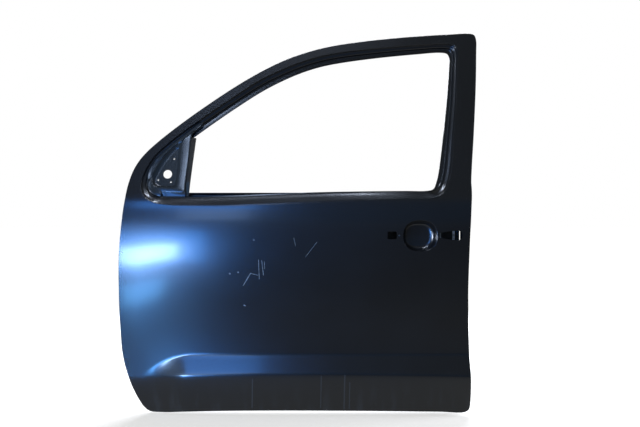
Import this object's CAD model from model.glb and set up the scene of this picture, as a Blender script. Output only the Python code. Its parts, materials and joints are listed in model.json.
"""Scene for a bare front door shell of a double-cab pickup, in dark electrocoat primer.

The solid model is the frame. The outer panel, the inner panel and the mirror bracket are
pressed again here from finer blanks, with round bends and true surface normals, because the
reflections in the dark primer show every facet. All other pieces are the model's own, with
new materials. Pieces are drawn in the door's own space (X from the hinge edge to the latch
edge, Y from the outside inward, Z up) and then moved to the row frame.
"""
import json
import logging
import math
from dataclasses import dataclass
from enum import Enum
from typing import Callable, Dict, Iterable, List, Optional, Sequence, Tuple

import bmesh
import bpy
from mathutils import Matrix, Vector
from mathutils.kdtree import KDTree

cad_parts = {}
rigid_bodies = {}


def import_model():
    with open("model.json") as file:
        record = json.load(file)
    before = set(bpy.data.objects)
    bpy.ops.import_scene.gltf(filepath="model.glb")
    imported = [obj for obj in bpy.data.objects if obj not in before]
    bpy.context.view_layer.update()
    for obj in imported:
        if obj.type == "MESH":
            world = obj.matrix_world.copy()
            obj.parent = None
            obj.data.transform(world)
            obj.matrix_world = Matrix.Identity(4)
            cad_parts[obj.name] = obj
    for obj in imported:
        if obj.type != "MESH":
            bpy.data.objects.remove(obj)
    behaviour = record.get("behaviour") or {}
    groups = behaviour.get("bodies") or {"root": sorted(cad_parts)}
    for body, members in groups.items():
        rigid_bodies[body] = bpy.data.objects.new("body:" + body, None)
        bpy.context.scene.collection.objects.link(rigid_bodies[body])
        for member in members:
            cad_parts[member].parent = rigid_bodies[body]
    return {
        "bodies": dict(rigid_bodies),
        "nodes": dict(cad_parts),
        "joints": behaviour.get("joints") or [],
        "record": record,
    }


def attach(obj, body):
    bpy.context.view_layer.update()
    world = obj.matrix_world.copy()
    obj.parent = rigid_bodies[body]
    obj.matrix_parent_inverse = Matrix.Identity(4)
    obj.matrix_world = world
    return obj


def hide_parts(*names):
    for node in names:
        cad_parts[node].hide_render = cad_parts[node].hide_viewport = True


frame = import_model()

log = logging.getLogger("door_scene")

Point2 = Tuple[float, float]
Point3 = Tuple[float, float, float]

MM = 0.001

# Overall size of the shell, as in the solid model
DOOR_LENGTH = 1.1385
DOOR_HEIGHT = 1.2125

# Sheet gauges, and the clear gap left between two sheets that are welded together
SKIN_GAUGE = 0.0008
INNER_GAUGE = 0.0008
SEAT_GAP = 0.0005
BRACKET_GAUGE = 0.0014

# The hem folded round the inner panel's flange; its section gives the way in from the
# door's edge and the depth under the outer face
HEM_RETURN = 0.009
HEM_DEPTH = SKIN_GAUGE + SEAT_GAP + INNER_GAUGE + SEAT_GAP + SKIN_GAUGE
EDGE_ROUND = 0.0011
HEM_SECTION = (
    (0.35 * EDGE_ROUND, 0.00035), (0.0, 0.0010), (0.0, HEM_DEPTH - 0.0010),
    (0.35 * EDGE_ROUND, HEM_DEPTH - 0.00035), (EDGE_ROUND, HEM_DEPTH), (HEM_RETURN, HEM_DEPTH))
FLANGE_INSET = 0.0018

# The skin's side section: tucked-in sill, band that faces up, hollow, waist, tumblehome
SILL_Z = -0.008
SILL_TUCK = 0.019
SILL_TUCK_POWER = 1.6
LOWER_CREASE_Z = 0.117
LOWER_CREASE_FALL_FRONT = 0.014
LOWER_CREASE_FALL_REAR = 0.009
LOWER_CREASE_DEPTH = 0.005
CREASE_PEAK_X = 0.560
CREASE_TIP_X = 0.054
UPPER_CREASE_Z = 0.174
UPPER_CREASE_TURN_X = 0.235
BAND_SLOPE = 0.30
BAND_FADE = 0.16
BAND_HOLLOW = 0.020
WAIST_Z = 0.580
SHOULDER_Z = 0.650
SHOULDER_DEPTH = 0.004
SHOULDER_SLOPE = 0.12
SHOULDER_LINE_Z = 0.638
SHOULDER_LINE_RISE = 0.027
SHOULDER_RISE_X = 0.330
SHOULDER_RISE_LENGTH = 0.655
SHOULDER_RISE_POWER = 1.1
FRAME_Z = 0.714
FRAME_DEPTH = 0.020
TUMBLEHOME = math.tan(math.radians(16))
CREASE_RADIUS = 0.005

# The skin's plan curve: how far its front and rear edges fall back from the middle
PLAN_MIDDLE_X = 0.650
PLAN_FRONT_FALL = 0.020
PLAN_REAR_FALL = 0.009
PLAN_FRONT_POWER = 2.2

# An opening with straight sides is given by its middle, half sizes, corner radius and steps to
# a corner, and a round one by its middle, radius and number of points.

# Handle openings in the skin
HANDLE_Z = 0.5480
ANCHOR_HOLE = (0.849, HANDLE_Z, 0.0145, 0.0120, 0.0030, 4)
PIN_HOLE = (0.871, HANDLE_Z, 0.0028, 16)
KEYHOLE_START_X = 0.997
KEYHOLE_START_HALF = 0.0075
KEYHOLE_WIDE_X = 1.034
KEYHOLE_SHOULDER = 0.0015
KEYHOLE_ROUND_X = 1.0535
KEYHOLE_ROUND_RADIUS = 0.0150
KEYHOLE_STEPS = 18
BURR_INSET = 0.0003
BURR_DEPTH = 0.0005

# Finger cup: middle (x, z), half length, half height and squareness of its rim and its floor
CUP_RIM = (0.937, 0.5465, 0.054, 0.049, 2.3)
CUP_FLOOR = (0.929, 0.5465, 0.034, 0.031, 3.2)
CUP_DEPTH = 0.024

# Section of the cup's wall: share of the way from rim to floor, and share of the depth
CUP_PROFILE = (
    (0.030, 0.012), (0.065, 0.050), (0.100, 0.115), (0.140, 0.210), (0.230, 0.400),
    (0.350, 0.600), (0.480, 0.760), (0.600, 0.865), (0.720, 0.935), (0.840, 0.975),
    (0.940, 0.994), (1.0, 1.0))

# Inner panel
PAN_DEPTH = 0.128
BELT_PLANE_DEPTH = 0.092
PAN_SHELF_LOW_Z = 0.592
PAN_SHELF_HIGH_Z = 0.648
FRAME_THICKNESS = 0.045
HINGE_FACE_X = 0.030
LATCH_FACE_X = 1.071
FLANGE_WIDTH = 0.017
WALL_DRAFT = 0.004
WALL_BEND_WIDTH = 0.003
WALL_BEND_DEPTH = 0.006
INNER_BELT_Z = 0.682
INNER_BELT_LIP = 0.014
PAN_ROUND = 0.0060
PAN_ROUND_MIDDLE = 0.3

# Bend from the pan's wall to its flange (share of the way to the foot, share of its depth),
# how far the wall may lean away from the hinge and latch faces for each metre above the
# shoulder, and how near a point has to be to lie on them
WALL_BEND_SECTION = ((0.0, 1.0), (0.22, 0.55))
WALL_LEAN = 0.5
ON_WALL = 1e-6

# Hinges, latch, check link, harness and drains: their places and holes in the pan's walls.
# The latch and check openings are given in (y, z), and a drain's in (x, y).
UPPER_HINGE_Z = 0.535
LOWER_HINGE_Z = 0.225
HINGE_Y = 0.086
HINGE_BOLT_SPACING = 0.050
HINGE_BOLT_RADIUS = 0.0060
CHECK_LINK_Z = 0.328
LATCH_Z = 0.560
LATCH_Y = 0.088
LATCH_HOLE = (LATCH_Y, LATCH_Z, 0.018, 0.032, 0.006, 5)
LATCH_SCREWS = ((0.082, 0.599), (0.082, 0.517), (0.059, 0.560))
LATCH_SCREW_RADIUS = 0.0045
CHECK_BOLT_SPACING = 0.056
CHECK_BOLT_RADIUS = 0.0036
CHECK_SLOT = (HINGE_Y, CHECK_LINK_Z, 0.011, 0.009, 0.003, 5)
HARNESS_Z = 0.3865
HARNESS_RADIUS = 0.0150
BOLT_SIDES = 28
HARNESS_SIDES = 44
DRAIN_PLACES = (0.220, 0.560, 0.900)
DRAIN_Z = 0.012
DRAIN_HOLE = (0.095, 0.012, 0.003, 0.0029, 6)
CUT_DEPTH = 0.020

# Mirror bracket: stations round it, in drawn millimetres: outline (x, z), rim of the
# pocket (x, z), floor of the pocket (x, z)
MIRROR_STATIONS = (
    (221, 874, 179, 836, 176, 818), (212, 796, 177.5, 786, 174, 786),
    (207, 748, 176, 748, 172.5, 748), (202.5, 704, 172.5, 709, 169.5, 712.5),
    (200.5, 684, 164.5, 700, 163, 704.5), (168, 682.5, 140, 699, 142, 703),
    (148, 682.8, 124, 699.6, 130, 703.5), (130, 683, 110.5, 701, 120, 705),
    (126.5, 670.5, 104.5, 705.5, 114, 709), (100, 677.5, 98, 712, 109, 714),
    (84, 698, 95, 722, 109.5, 721), (80, 721, 97, 735, 114, 733),
    (79, 743, 104, 753, 121.5, 748), (104, 787, 120, 783, 133, 769),
    (130, 813, 142.5, 812, 149, 793), (158, 840, 163, 831, 164.5, 812),
    (200, 874, 169, 834.5, 168, 814.5), (247, 910, 173, 836.5, 171, 816.5),
    (252, 903, 176.5, 837, 174, 817.8))
LEG_TOP_Z = 0.687
LEG_FRONT_X = 0.1285
BRACKET_RIM_DEPTH = 0.0122
POCKET_DEPTH = 0.009
MIRROR_HOLES = ((162.5, 790), (114.5, 722.5), (155, 715.5))
MIRROR_HOLE_RADIUS = 0.0030
MIRROR_HARNESS = (144, 740)
MIRROR_HARNESS_RADIUS = 0.0136
MIRROR_HOLE_SIDES = 24
MIRROR_HARNESS_SIDES = 48
POCKET_CUT_DEPTH = 0.030

# Section of the bracket: from its outline to the rim (0) or from there to the pocket's floor
# (2), share of that way, and depth as a share of the pocket's
BRACKET_PROFILE = (
    (0, 0.03, -0.03), (0, 0.07, -0.09), (0, 0.14, -0.13), (0, 0.30, -0.17), (0, 0.50, -0.22),
    (0, 0.70, -0.26), (0, 0.82, -0.27), (0, 0.90, -0.24), (0, 0.96, -0.14), (2, 0.0, 0.02),
    (2, 0.08, 0.22), (2, 0.20, 0.44), (2, 0.40, 0.68), (2, 0.62, 0.86), (2, 0.80, 0.95),
    (2, 1.0, 1.0))

# How far the bracket's edge stands under its rim, and the step along its left side: where it
# is, how deep as a share of the pocket's depth, and where on the way to the rim it starts
BRACKET_LIFT = 0.0006
LEFT_STEP_X = 0.120
LEFT_STEP_REACH = 0.025
LEFT_STEP_SINK = 0.26
LEFT_STEP_START = 0.30
LEFT_STEP_FADE = 0.20

# The leg behind the belt, as shares of the way from the opening to the shoulder
LEG_SHARES = (-0.20, 0.0, 0.14, 0.42, 0.60)

# Outer edge of the door, in drawn millimetres, from the sill up the front and round
FRONT_EDGE = (
    (88, -7), (70, 7), (54, 32), (40, 60), (30, 84), (21, 110), (13, 136), (7, 162), (2, 195),
    (-1, 240), (-4, 300), (-5, 370), (-5, 440), (-3, 500), (1, 550), (6, 595), (9, 620),
    (12, 641), (15, 660), (18, 680), (21, 697), (25, 714), (36, 748), (53, 780), (78, 811))
ROOF_EDGE = (
    (120, 850), (165, 887), (217, 927), (272, 967), (328, 1006), (388, 1045), (450, 1081),
    (520, 1115), (590, 1140), (665, 1159), (760, 1174), (860, 1185.5), (964, 1194.5),
    (1050, 1200), (1108, 1203), (1127, 1199), (1133.5, 1183))
REAR_EDGE = (
    (1132, 1130), (1127, 1040), (1120, 950), (1111, 850), (1103, 770), (1098.5, 714),
    (1099, 697), (1099, 680), (1098.3, 662), (1097.2, 645), (1096, 622), (1094.5, 590),
    (1092, 540), (1090, 480), (1088.5, 420), (1088, 360), (1089, 310), (1090, 260),
    (1091.5, 215), (1092.5, 180), (1092.8, 168), (1094, 140), (1095.4, 114), (1095.6, 101),
    (1096, 76), (1095.7, 50), (1094.5, 20), (1091, 3), (1078, -6))
SILL_EDGE = (
    (1000, -4.5), (900, -3), (780, -1.5), (660, -0.7), (540, -0.3), (420, -0.8), (300, -2.5),
    (200, -5.5), (130, -9.5))

# Round the window, in drawn millimetres: lip of the outer face (x, z), edge of the opening
# (x, z), and how far the place belongs to the belt (1) or to a pillar (0)
WINDOW_STATIONS = (
    (1036, 750, 1000, 745, 0), (1051, 881, 1020, 876, 0), (1062, 980, 1034, 980, 0),
    (1068, 1085, 1045, 1085, 0), (1071, 1138, 1047, 1122, 0), (1062, 1162, 1040, 1138, 0),
    (1035, 1168, 1018, 1142, 0), (937, 1163, 939, 1136, 0), (820, 1153, 822, 1124, 0),
    (703, 1140, 705, 1108, 0), (617, 1123, 626, 1092, 0), (528, 1092, 545, 1064, 0),
    (431, 1045, 449, 1016, 0), (334, 980, 354, 954, 0), (241, 914, 262, 888, 0),
    (153, 847, 175, 821, 0), (98, 793, 127, 776, 0), (70, 741, 104, 733, 0),
    (63, 702, 97, 703, 0.2), (74, 669, 107, 680, 0.6), (104, 650, 130, 669, 1),
    (150, 642, 165, 667, 1), (240, 639, 240, 668, 1), (330, 638, 330, 671, 1),
    (450, 642, 450, 676, 1), (600, 648.5, 600, 682, 1), (750, 655.5, 750, 685, 1),
    (890, 660.5, 890, 686.5, 1), (982, 664.5, 960, 687, 1), (1011, 681, 981, 693, 0.5),
    (1025, 710, 991, 712, 0))
ON_BELT = 0.99

# Section of the window surround: share of the way from the opening to the lip, and depth
# under the outer face. First on the pillars and header, then on the belt.
PILLAR_SECTION = ((1.0, 0.0), (0.92, 0.0130), (0.60, 0.0155), (0.47, 0.0300), (0.0, 0.0300))
BELT_SECTION = ((1.0, 0.0), (0.72, 0.0040), (0.42, 0.0090), (0.14, 0.0145), (0.0, 0.0160))

# The lip's rounding, which takes the place of each section's first point
LIP_PILLAR = ((1.0, 0.0), (0.985, 0.0003), (0.966, 0.0012), (0.951, 0.0030))
LIP_BELT = ((1.0, 0.0), (0.955, 0.0003), (0.91, 0.0009), (0.86, 0.0018))

# The inner panel's folds round the window: share of the way from the opening (0) to the lip
# (1), share of the way down its wall, and on the belt how low and how far outboard it lies
PAN_OPENING_SHARE = 0.60
PAN_OPENING_DROP = 0.010
PAN_WINDOW_SECTION = (
    (0.565, 0.03, 0.0085, 0.0), (0.545, 0.14, 0.0073, 0.0004), (0.53, 0.30, 0.0064, 0.0010),
    (0.455, 0.88, 0.0016, 0.0026), (0.435, 0.97, 0.0008, 0.0034), (0.40, 1.0, 0.0004, 0.0046),
    (0.0, 1.0, 0.0, INNER_BELT_LIP))

# Fields pressed back out of the pan's face: x from, x to, z from, z to, depth
PAN_FIELDS = (
    (0.105, 0.355, 0.115, 0.365, 0.010),
    (0.395, 0.735, 0.215, 0.555, 0.008),
    (0.775, 0.985, 0.255, 0.590, 0.008))
PAN_FIELD_SLOPE = 0.010
PAN_FIELD_STEPS = (0.0, 0.0033, 0.0066, PAN_FIELD_SLOPE)

# Openings in the pan's face, the turned rim of the large ones (way in, way outboard), and the
# trim clips' holes
SPEAKER_HOLE = (0.230, 0.240, 0.0825, 72)
SERVICE_HOLES = (
    (0.565, 0.400, 0.125, 0.115, 0.035, 8), (0.880, 0.448, 0.070, 0.078, 0.030, 8),
    (0.500, 0.125, 0.080, 0.035, 0.022, 7), (0.760, 0.130, 0.085, 0.035, 0.022, 7),
    (0.170, 0.490, 0.045, 0.050, 0.020, 7), (0.955, 0.150, 0.040, 0.030, 0.015, 6))
RIM_SECTION = ((0.0005, 0.0010), (0.0009, 0.0030))
CLIP_RADIUS = 0.0048
CLIP_POINTS = 16
CLIP_HOLES = (
    (0.090, 0.082), (0.330, 0.060), (0.630, 0.050), (0.880, 0.060), (1.040, 0.110),
    (1.035, 0.300), (1.035, 0.520), (0.070, 0.330), (0.075, 0.575), (0.375, 0.240),
    (0.375, 0.540), (0.755, 0.330), (0.755, 0.545), (0.300, 0.560))

# Origin of the row frame in the door's own space: centre of the upper hinge face
DATUM = Vector((HINGE_FACE_X, HINGE_Y, UPPER_HINGE_Z))

# Fineness of the outlines and of the pressed surfaces
EDGE_STEPS = 5
WINDOW_STEPS = 6
BELT_STEPS = 2
BRACKET_STEPS = 6
CUP_POINTS = 72
GRID_PITCH = 0.0085
FRAME_PITCH = 0.0095
PAN_PITCH = 0.0105
LEAST_PITCH = 0.0015

# The blanks reach past the door on all sides
BLANK_LOW = -0.060
BLANK_REAR_X = 1.200
BLANK_TOP_Z = DOOR_HEIGHT + 0.060

# Rows of the skin's blank between its creases, waist, shoulder and frame
SILL_ROWS = (0.0, 0.10, 0.20, 0.31, 0.42, 0.53, 0.64, 0.75, 0.86)
CREASE_ROWS = (-1.0, -0.6, -0.2, 0.2, 0.6, 1.0)
BAND_ROWS = (0.2, 0.4, 0.6, 0.8)
LEAST_BAND = 0.016
HOLLOW_ROWS = 46
WAIST_ROWS = 4
SHOULDER_ROWS = 14
SHOULDER_MARGIN = 0.030
PAN_ROWS = (BLANK_LOW, 0.040, PAN_SHELF_LOW_Z, PAN_SHELF_HIGH_Z, 0.700, BLANK_TOP_Z)

# Outlines moved inward: step, least distance of neighbours and passes that keep it, least
# share of an edge's length, and least cosine at a corner
INSET_STEP = 0.002
LEAST_EDGE = 0.0008
APART_PASSES = 4
LEAST_SHARE = 0.45
LEAST_COSINE = 0.5

# Bends sharper than this show as edges, in degrees
SKIN_SHARP = 40.0
PAN_SHARP = 38.0
BRACKET_SHARP = 36.0


class Num:
    """Small numeric helpers."""

    @staticmethod
    def clamp(value: float, low: float = 0.0, high: float = 1.0) -> float:
        """Hold a value between two limits."""
        return max(low, min(high, value))

    @staticmethod
    def ease(t: float) -> float:
        """Smooth step from 0 to 1."""
        t = Num.clamp(t)
        return t * t * (3 - 2 * t)

    @staticmethod
    def mix(a: float, b: float, share: float) -> float:
        """Value a share of the way from a to b."""
        return a + (b - a) * share

    @staticmethod
    def steps(low: float, high: float, count: int) -> List[float]:
        """Values from low to high in a number of even steps."""
        return [Num.mix(low, high, i / count) for i in range(count + 1)]

    @staticmethod
    def spread(low: float, high: float, pitch: float) -> List[float]:
        """Evenly spaced values from low to high, at most a pitch apart."""
        return Num.steps(low, high, max(1, math.ceil((high - low) / pitch)))


class Skin:
    """Depth of the pressed surfaces as functions of the place on the door."""

    @staticmethod
    def lower_crease(x: float) -> float:
        """Height of the lower crease, highest a little ahead of the middle."""
        if x < CREASE_PEAK_X:
            share = Num.clamp((CREASE_PEAK_X - x) / (CREASE_PEAK_X - CREASE_TIP_X))
            return LOWER_CREASE_Z - LOWER_CREASE_FALL_FRONT * share ** 2
        share = Num.clamp((x - CREASE_PEAK_X) / (DOOR_LENGTH - CREASE_PEAK_X))
        return LOWER_CREASE_Z - LOWER_CREASE_FALL_REAR * share ** 2

    @staticmethod
    def upper_crease(x: float) -> float:
        """Height of the upper crease: level, then turning down to the lower one in front."""
        drop = UPPER_CREASE_Z - (LOWER_CREASE_Z - LOWER_CREASE_FALL_FRONT)
        share = max(0.0, (UPPER_CREASE_TURN_X - x) / (UPPER_CREASE_TURN_X - CREASE_TIP_X))
        return max(Skin.lower_crease(x), UPPER_CREASE_Z - drop * share ** 2)

    @staticmethod
    def shoulder_line(x: float) -> float:
        """Height of the shoulder under the window."""
        rise = Num.clamp((x - SHOULDER_RISE_X) / SHOULDER_RISE_LENGTH) ** SHOULDER_RISE_POWER
        return SHOULDER_LINE_Z + SHOULDER_LINE_RISE * rise

    @staticmethod
    def plan_depth(x: float) -> float:
        """How far the skin falls back from its middle toward its front and rear edges."""
        if x < PLAN_MIDDLE_X:
            return PLAN_FRONT_FALL * ((PLAN_MIDDLE_X - x) / PLAN_MIDDLE_X) ** PLAN_FRONT_POWER
        return PLAN_REAR_FALL * ((x - PLAN_MIDDLE_X) / (DOOR_LENGTH - PLAN_MIDDLE_X)) ** 2

    @staticmethod
    def sharp_section(x: float, z: float) -> float:
        """Depth of the side section at one place, with sharp creases."""
        low, high = Skin.lower_crease(x), Skin.upper_crease(x)
        slope = BAND_SLOPE * Num.ease((x - CREASE_TIP_X) / BAND_FADE)
        hollow = LOWER_CREASE_DEPTH + BAND_HOLLOW
        if z < low:
            share = Num.clamp((low - z) / (low - SILL_Z))
            return hollow - slope * (high - low) + SILL_TUCK * share ** SILL_TUCK_POWER
        if z < high:
            return hollow - slope * (high - z)
        if z < WAIST_Z:
            return hollow * 0.5 * (1 + math.cos(math.pi * (z - high) / (WAIST_Z - high)))
        if z < SHOULDER_Z:
            return SHOULDER_DEPTH * ((z - WAIST_Z) / (SHOULDER_Z - WAIST_Z)) ** 2
        if z < FRAME_Z:
            span = FRAME_Z - SHOULDER_Z
            t = (z - SHOULDER_Z) / span
            t2, t3 = t * t, t * t * t
            low_part = (2 * t3 - 3 * t2 + 1) * SHOULDER_DEPTH
            high_part = (3 * t2 - 2 * t3) * FRAME_DEPTH
            slopes = (t3 - 2 * t2 + t) * SHOULDER_SLOPE + (t3 - t2) * TUMBLEHOME
            return low_part + high_part + span * slopes
        return FRAME_DEPTH + TUMBLEHOME * (z - FRAME_Z)

    @staticmethod
    def face(x: float, z: float) -> float:
        """Depth of the outer face, with its creases rounded."""
        reach = (-1.0, -0.5, 0.0, 0.5, 1.0)
        section = sum(Skin.sharp_section(x, z + CREASE_RADIUS * r) for r in reach) / len(reach)
        return section + Skin.plan_depth(x)

    @staticmethod
    def pan_field(x: float, z: float) -> float:
        """How far a place in one of the pan's pressed fields lies outboard of its face."""
        for x0, x1, z0, z1, depth in PAN_FIELDS:
            edge = min(x - x0, x1 - x, z - z0, z1 - z)
            if edge > 0:
                return depth * Num.ease(edge / PAN_FIELD_SLOPE)
        return 0.0

    @staticmethod
    def inner(x: float, z: float) -> float:
        """Depth of the inner panel's face: deep pan, shelf under the belt, then the frame."""
        shelf = Num.ease((z - PAN_SHELF_LOW_Z) / (PAN_SHELF_HIGH_Z - PAN_SHELF_LOW_Z))
        pan = Num.mix(PAN_DEPTH, BELT_PLANE_DEPTH, shelf)
        over = Skin.face(x, z) + FRAME_THICKNESS if z > SHOULDER_Z else 0.0
        return max(pan, over) - Skin.pan_field(x, z)

    @staticmethod
    def flange(x: float, z: float) -> float:
        """Depth of the inner panel's flange, which lies inside the folded hem."""
        return Skin.face(x, z) + SKIN_GAUGE + SEAT_GAP + INNER_GAUGE

    @staticmethod
    def normal(depth: Callable[[float, float], float], x: float, z: float, side: float) -> Vector:
        """Unit normal of a pressed surface.

        Args:
            depth: the surface's depth as a function of the place.
            x: place along the door.
            z: height.
            side: -1 for a surface that looks outboard, 1 for one that looks inboard.

        Returns:
            The normal on that side.
        """
        step = 0.0006
        slope_x = (depth(x + step, z) - depth(x - step, z)) / (2 * step)
        slope_z = (depth(x, z + step) - depth(x, z - step)) / (2 * step)
        return (Vector((-slope_x, 1.0, -slope_z)) * side).normalized()


class Outline:
    """Closed outlines as lists of points."""

    @staticmethod
    def spline(points: Sequence[Sequence[float]], steps: int) -> List[Tuple[float, ...]]:
        """Closed centripetal curve through points of any dimension.

        Args:
            points: stations of the curve; the first two values of each set the spacing.
            steps: pieces to each span.

        Returns:
            The points of the curve.
        """
        count = len(points)
        result = []
        for i in range(count):
            p = [points[(i + k - 1) % count] for k in range(4)]
            knots = [0.0]
            for a, b in zip(p, p[1:]):
                knots.append(knots[-1] + max(math.dist(a[:2], b[:2]), 1e-6) ** 0.5)
            for step in range(steps):
                result.append(Outline._blend(p, knots, Num.mix(knots[1], knots[2], step / steps)))
        return result

    @staticmethod
    def _blend(p: Sequence[Sequence[float]], knots: Sequence[float],
               t: float) -> Tuple[float, ...]:
        """Point of one span at a knot value, by repeated mixing."""
        def between(a, b, low, high):
            share = (t - knots[low]) / (knots[high] - knots[low])
            return tuple(Num.mix(u, v, share) for u, v in zip(a, b))
        a1, a2, a3 = (between(p[i], p[i + 1], i, i + 1) for i in range(3))
        b1, b2 = between(a1, a2, 0, 2), between(a2, a3, 1, 3)
        return between(b1, b2, 1, 2)

    @staticmethod
    def inset(points: List[Point2], distance: float) -> List[Point2]:
        """Outline moved inward by a distance, with as many points as before."""
        if distance == 0:
            return points
        steps = max(1, math.ceil(abs(distance) / INSET_STEP))
        outline = points
        for _ in range(steps):
            outline = Outline.keep_apart(Outline._shift(outline, distance / steps), points)
        return Outline._round_off(outline, points)

    @staticmethod
    def _round_off(outline: List[Point2], pattern: List[Point2]) -> List[Point2]:
        """Draw a short curve through each stretch that the inset has bunched up."""
        points = [Vector(p) for p in outline]
        count = len(points)
        bad = set()
        for i in range(count):
            j = (i + 1) % count
            way = Vector(pattern[j]) - Vector(pattern[i])
            if (points[j] - points[i]).dot(way) < LEAST_SHARE * way.length_squared:
                bad.update(((i - 1) % count, i, j, (j + 1) % count))
        for start in sorted(i for i in bad if (i - 1) % count not in bad):
            length = 1
            while (start + length) % count in bad:
                length += 1
            first, last = start - 1, start + length
            while True:
                gap = (points[last % count] - points[first % count]).length
                if gap >= LEAST_EDGE * (last - first):
                    break
                first, last = first - 1, last + 1
            a, b = points[first % count], points[last % count]
            ahead = a - points[(first - 1) % count]
            behind = b - points[(last + 1) % count]
            cross = ahead.x * behind.y - ahead.y * behind.x
            middle = (a + b) / 2
            if abs(cross) > 1e-9:
                t = ((b - a).x * behind.y - (b - a).y * behind.x) / cross
                corner = a + ahead * t
                if t > 0 and (corner - middle).length < (b - a).length:
                    middle = corner
            for k in range(first + 1, last):
                u = (k - first) / (last - first)
                points[k % count] = a * (1 - u) ** 2 + middle * 2 * u * (1 - u) + b * u * u
        return [(p.x, p.y) for p in points]

    @staticmethod
    def _shift(points: List[Point2], distance: float) -> List[Point2]:
        """Each point moved along the middle of its two edges' normals."""
        area = sum(a[0] * b[1] - b[0] * a[1] for a, b in zip(points, points[1:] + points[:1]))
        turn = 1.0 if area > 0 else -1.0
        count = len(points)
        result = []
        for i in range(count):
            before, here, after = (Vector(points[(i + k - 1) % count]) for k in range(3))
            first = Vector((-(here - before).y, (here - before).x)).normalized() * turn
            second = Vector((-(after - here).y, (after - here).x)).normalized() * turn
            middle = (first + second).normalized()
            moved = here + middle * distance / max(middle.dot(first), LEAST_COSINE)
            result.append((moved.x, moved.y))
        return result

    @staticmethod
    def keep_apart(outline: List[Point2], pattern: List[Point2]) -> List[Point2]:
        """Hold neighbouring points a short piece apart, in the sense of the pattern's edges."""
        points = [Vector(p) for p in outline]
        count = len(points)
        for _ in range(APART_PASSES):
            for i in range(count):
                j = (i + 1) % count
                way = Vector(pattern[j]) - Vector(pattern[i])
                least = min(LEAST_EDGE, way.length)
                way.normalize()
                short = least - (points[j] - points[i]).dot(way)
                if short > 0:
                    points[i] -= way * short / 2
                    points[j] += way * short / 2
        return [(p.x, p.y) for p in points]

    @staticmethod
    def circle(x: float, z: float, radius: float, count: int) -> List[Point2]:
        """Round outline."""
        return [(x + radius * math.cos(2 * math.pi * i / count),
                 z + radius * math.sin(2 * math.pi * i / count)) for i in range(count)]

    @staticmethod
    def rounded_box(x: float, z: float, half_x: float, half_z: float, corner: float,
                    steps: int) -> List[Point2]:
        """Rectangle with round corners, its straight sides divided too."""
        points = []
        for quarter in range(4):
            sx, sz = (1, -1, -1, 1)[quarter], (1, 1, -1, -1)[quarter]
            for step in range(steps + 1):
                angle = math.pi / 2 * (quarter + step / steps)
                points.append((x + sx * (half_x - corner) + corner * math.cos(angle),
                               z + sz * (half_z - corner) + corner * math.sin(angle)))
        result = []
        for a, b in zip(points, points[1:] + points[:1]):
            pieces = max(1, round(math.dist(a, b) / GRID_PITCH))
            result += [(Num.mix(a[0], b[0], i / pieces), Num.mix(a[1], b[1], i / pieces))
                       for i in range(pieces)]
        return result

    @staticmethod
    def squircle(x: float, z: float, half_x: float, half_z: float, power: float,
                 count: int) -> List[Point2]:
        """Outline between an ellipse and a rectangle."""
        result = []
        for i in range(count):
            c, s = math.cos(2 * math.pi * i / count), math.sin(2 * math.pi * i / count)
            result.append((x + half_x * math.copysign(abs(c) ** (2 / power), c),
                           z + half_z * math.copysign(abs(s) ** (2 / power), s)))
        return result

    @staticmethod
    def keyhole() -> List[Point2]:
        """The rear handle opening: a slot that widens rearward to a round end."""
        radius = KEYHOLE_ROUND_RADIUS
        result = [(KEYHOLE_START_X, HANDLE_Z + KEYHOLE_START_HALF),
                  (KEYHOLE_START_X, HANDLE_Z - KEYHOLE_START_HALF),
                  (KEYHOLE_WIDE_X, HANDLE_Z - radius + KEYHOLE_SHOULDER)]
        for step in range(KEYHOLE_STEPS + 1):
            angle = math.pi * (step / KEYHOLE_STEPS - 0.5)
            result.append((KEYHOLE_ROUND_X + radius * math.cos(angle),
                           HANDLE_Z + radius * math.sin(angle)))
        result.append((KEYHOLE_WIDE_X, HANDLE_Z + radius - KEYHOLE_SHOULDER))
        return result


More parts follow.
